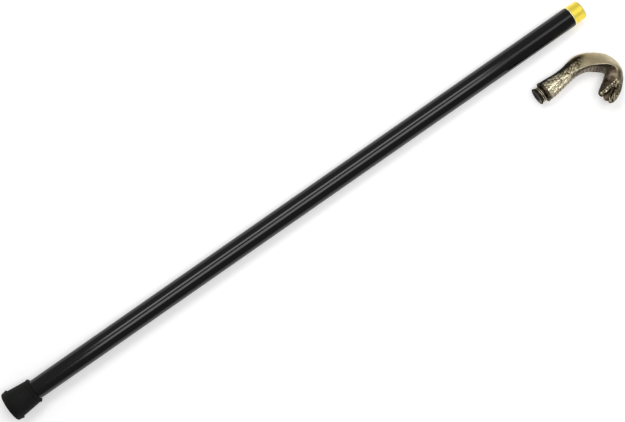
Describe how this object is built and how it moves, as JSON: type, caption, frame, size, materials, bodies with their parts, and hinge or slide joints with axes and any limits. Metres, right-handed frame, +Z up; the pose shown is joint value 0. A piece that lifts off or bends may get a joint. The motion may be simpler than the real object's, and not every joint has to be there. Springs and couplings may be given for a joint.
{
  "type": "walking cane",
  "caption": "Straight black walking cane with a rubber foot, a brass screw collar and a cast cobra-head handle unscrewed beside it, its threaded stub pointing back along the shaft.",
  "frame": {"origin": "middle of the bounding box in X and Y, on the floor that the cane and the loose handle lie on", "axes": "+X runs along the shaft from the foot to the collar, +Y is across the shaft away from the loose handle, +Z is up"},
  "size_m": [0.8348, 0.1352, 0.0396],
  "materials": {
    "rubber": "matte",
    "steel": "plain turned",
    "black_wood": "black lacquer with faint lengthwise grain",
    "bright_brass": "polished",
    "aged_brass": "antiqued, dark in the recesses and rubbed bright on the high places"
  },
  "bodies": {
    "foot": {"foot": "rubber"},
    "foot_seat": {"foot_washer": "steel"},
    "shaft": {"shaft": "black_wood", "collar": "bright_brass", "collar_pin": "bright_brass"},
    "seal_ring": {"seal_ring": "rubber"},
    "handle": {"cobra_handle": "aged_brass", "threaded_stub": "aged_brass", "stub_screw": "steel"}
  },
  "joints": [
    {"name": "foot_pull", "type": "slide", "parent": "foot", "child": "foot_seat", "axis": [1, 0, -0.0089], "range_m": [0, 0.09]},
    {"name": "shaft_turn", "type": "hinge", "parent": "foot_seat", "child": "shaft", "pos_m": [-0.41726, 0.04777, 0.01986], "axis": [1, 0, -0.0089], "range_deg": [0, 1440]},
    {"name": "handle_carry", "type": "slide", "parent": "foot", "child": "seal_ring", "axis": [0.96, 0.2799, -0.0059], "range_m": [0, 0.20111]},
    {"name": "handle_advance", "type": "slide", "parent": "seal_ring", "child": "handle", "axis": [-1, 0, 0.0089], "range_m": [0, 0.0081]}
  ],
  "couplings": [
    {"joint": "handle_advance", "follows": "shaft_turn", "m_per_rad": 0.00031831}
  ]
}
